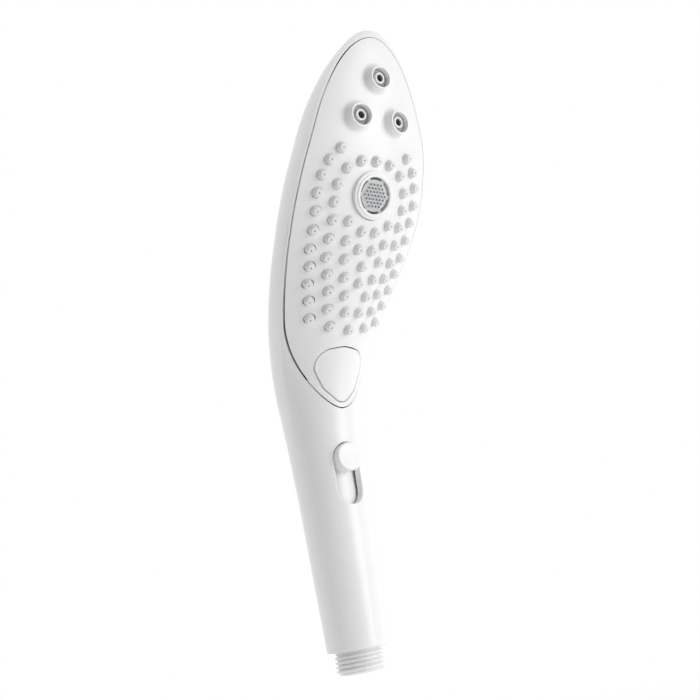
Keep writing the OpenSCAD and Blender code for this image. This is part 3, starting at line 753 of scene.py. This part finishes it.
def build_inlet():
    """The hose connector: rows of points down its bore, up its helical thread and up its stem."""
    sides = 96
    turns = [k / sides for k in range(sides)]
    bore = [(SOCKET_R, STEM_TOP), (SOCKET_R, BORE_TOP), (BORE_R, BORE_TOP), (BORE_R, 0.4),
            (BORE_R + 0.15, 0.1), (BORE_R + 0.4, 0), (ROOT_R - 0.5, 0)]
    stem = [(STEM_R - 0.4, 9.4), (STEM_R - 0.4, 9.75), (STEM_R, 9.76), (STEM_R, GROOVE_LOW),
            (GROOVE_R, GROOVE_LOW), (GROOVE_R, GROOVE_HIGH), (STEM_R, GROOVE_HIGH), (STEM_R, STEM_TOP)]
    rings = [([r] * sides, z) for r, z in bore]
    rings += [([thread_radius(t, z) for t in turns], z) for z in np.arange(0.15, 9.35, PITCH / 14)]
    rings += [([r] * sides, z) for r, z in stem]
    points, rows = [], []
    for radii, z in rings:
        rows.append(list(range(len(points), len(points) + sides)))
        points += [Vector((r * cos(2 * pi * t), r * sin(2 * pi * t), z)) for r, t in zip(radii, turns)]
    faces = []
    for low, high in zip(rows, rows[1:] + rows[:1]):
        faces += [(low[k], low[(k + 1) % sides], high[(k + 1) % sides], high[k]) for k in range(sides)]
    add_object("hose_connector", points, faces, WHITE, "casing", "white_abs", ("inlet_connector",))


WIRE = 0.35      # radius of the springs' wire


def build_coil(name, place, radius, length, turns, node):
    """A closed-end compression spring along +Z of its place."""
    per_turn, sides = 24, 8
    steps = turns * per_turn
    points, faces = [], []
    for i in range(steps + 1):
        a = 2 * pi * i / per_turn
        t = i / steps
        rise = WIRE + (length - 2 * WIRE) * smooth(0.02, 0.98, t)
        middle = Vector((radius * cos(a), radius * sin(a), rise))
        out = Vector((cos(a), sin(a), 0))
        for k in range(sides):
            b = 2 * pi * k / sides
            points.append(place @ (middle + out * WIRE * cos(b) + Vector((0, 0, WIRE * sin(b)))))
    for i in range(steps):
        for k in range(sides):
            n = (k + 1) % sides
            faces.append((i * sides + k, (i + 1) * sides + k, (i + 1) * sides + n, i * sides + n))
    faces.append(tuple(range(sides)))
    faces.append(tuple(steps * sides + k for k in reversed(range(sides))))
    return add_object(name, points, faces, STEEL, "casing", "steel", (node,))


build_shell()
build_plate()
build_nozzles()
build_centre_ring()
build_centre_disc()
build_jets()
build_button()
build_slider()
build_inlet()

# Each coil is squashed towards the end that stays: the button's inner end, the valve's upper end.
spring_seat = on_front(0, BUTTON_Z) - BUTTON_OUT * 12.38
button_coil = build_coil("button_return_spring", frame_on(spring_seat, BUTTON_OUT), 3.8, 5.36, 5,
                         "button_spring")
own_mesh(button_coil)
valve_low, valve_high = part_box("check_valve_spring")
valve_seat = Vector((0, 0, valve_low[2] / MM))
valve_coil = build_coil("check_valve_coil", frame_on(valve_seat, Vector((0, 0, 1))), 3, 8.8, 6,
                        "check_valve_spring")
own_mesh(valve_coil)


# ---------- Camera, light and floor ----------

CAMERA_AT = (-252.64, -353.83, 23.62)


def set_camera():
    """The photograph's viewpoint: yaw to the right of +Y, pitch upwards and roll about the view."""
    yaw, pitch, roll = radians(38.02), radians(15.08), radians(-10.03)
    ahead = Vector((sin(yaw) * cos(pitch), cos(yaw) * cos(pitch), sin(pitch)))
    right = Vector((cos(yaw), -sin(yaw), 0))
    up = right.cross(ahead)
    x_axis = right * cos(roll) + up * sin(roll)
    y_axis = up * cos(roll) - right * sin(roll)
    data = bpy.data.cameras.new("camera")
    data.lens = 50
    data.sensor_width = 36
    camera = bpy.data.objects.new("camera", data)
    bpy.context.collection.objects.link(camera)
    turn = Matrix((x_axis, y_axis, -ahead)).transposed().to_4x4()
    camera.matrix_world = Matrix.Translation(Vector(CAMERA_AT) * MM) @ turn
    bpy.context.scene.camera = camera


def set_light():
    """A bright room that is darker on the photograph's left, and one large soft lamp on its right."""
    scene = bpy.context.scene
    scene.view_settings.view_transform = "Standard"
    world = bpy.data.worlds.new("studio")
    scene.world = world
    world.use_nodes = True
    nodes, links = world.node_tree.nodes, world.node_tree.links
    sky = nodes["Background"]
    place = nodes.new("ShaderNodeTexCoord")
    facing = nodes.new("ShaderNodeVectorMath")
    facing.operation = "DOT_PRODUCT"
    facing.inputs[1].default_value = Vector((-0.75, -0.62, -0.42)).normalized()
    links.new(place.outputs["Generated"], facing.inputs[0])

    def shade(darkest):
        fade = nodes.new("ShaderNodeMapRange")
        fade.interpolation_type = "SMOOTHSTEP"
        fade.inputs["From Min"].default_value = 0.0
        fade.inputs["From Max"].default_value = 0.9
        fade.inputs["To Min"].default_value = 1.0
        fade.inputs["To Max"].default_value = darkest
        links.new(facing.outputs["Value"], fade.inputs["Value"])
        return fade.outputs["Result"]

    # The room is dark on one side, but the backdrop behind the object stays pale.
    ray = nodes.new("ShaderNodeLightPath")
    strength = nodes.new("ShaderNodeMix")
    links.new(ray.outputs["Is Camera Ray"], strength.inputs["Factor"])
    links.new(shade(0.18), strength.inputs["A"])
    links.new(shade(0.7), strength.inputs["B"])
    links.new(strength.outputs["Result"], sky.inputs["Strength"])
    sky.inputs["Color"].default_value = (1, 1, 1, 1)
    key = bpy.data.lights.new("soft_key", "AREA")
    key.shape = "DISK"
    key.size = 0.7
    key.energy = 3.9
    lamp = bpy.data.objects.new("soft_key", key)
    bpy.context.collection.objects.link(lamp)
    target = Vector((0, -20, 150)) * MM
    lamp.location = Vector((510, -990, 190)) * MM
    lamp.rotation_euler = (target - lamp.location).to_track_quat("-Z", "Y").to_euler()


def fade_out(material, start, end):
    """Thins a floor's material out with distance from the middle, so it has no hard edge."""
    nodes, links = material.node_tree.nodes, material.node_tree.links
    place = nodes.new("ShaderNodeTexCoord")
    reach = nodes.new("ShaderNodeVectorMath")
    reach.operation = "LENGTH"
    thin = nodes.new("ShaderNodeMapRange")
    thin.interpolation_type = "SMOOTHSTEP"
    thin.inputs["From Min"].default_value = start
    thin.inputs["From Max"].default_value = end
    thin.inputs["To Min"].default_value = 1
    thin.inputs["To Max"].default_value = 0
    links.new(place.outputs["Object"], reach.inputs[0])
    links.new(reach.outputs["Value"], thin.inputs["Value"])
    links.new(thin.outputs["Result"], nodes["Principled BSDF"].inputs["Alpha"])


def set_floor():
    """A plain pale floor well below the object, in metres."""
    half, level = 1.4, -0.16
    mesh = bpy.data.meshes.new("floor")
    mesh.from_pydata([(-half, -half, level), (half, -half, level), (half, half, level), (-half, half, level)],
                     [], [(0, 1, 2, 3)])
    floor = bpy.data.objects.new("floor", mesh)
    bpy.context.collection.objects.link(floor)
    pale = new_material("pale_floor", (0.95, 0.95, 0.95), 0.8, 400, 0.02)
    fade_out(pale, 0.5, 1.3)
    mesh.materials.append(pale)


set_camera()
set_light()
set_floor()
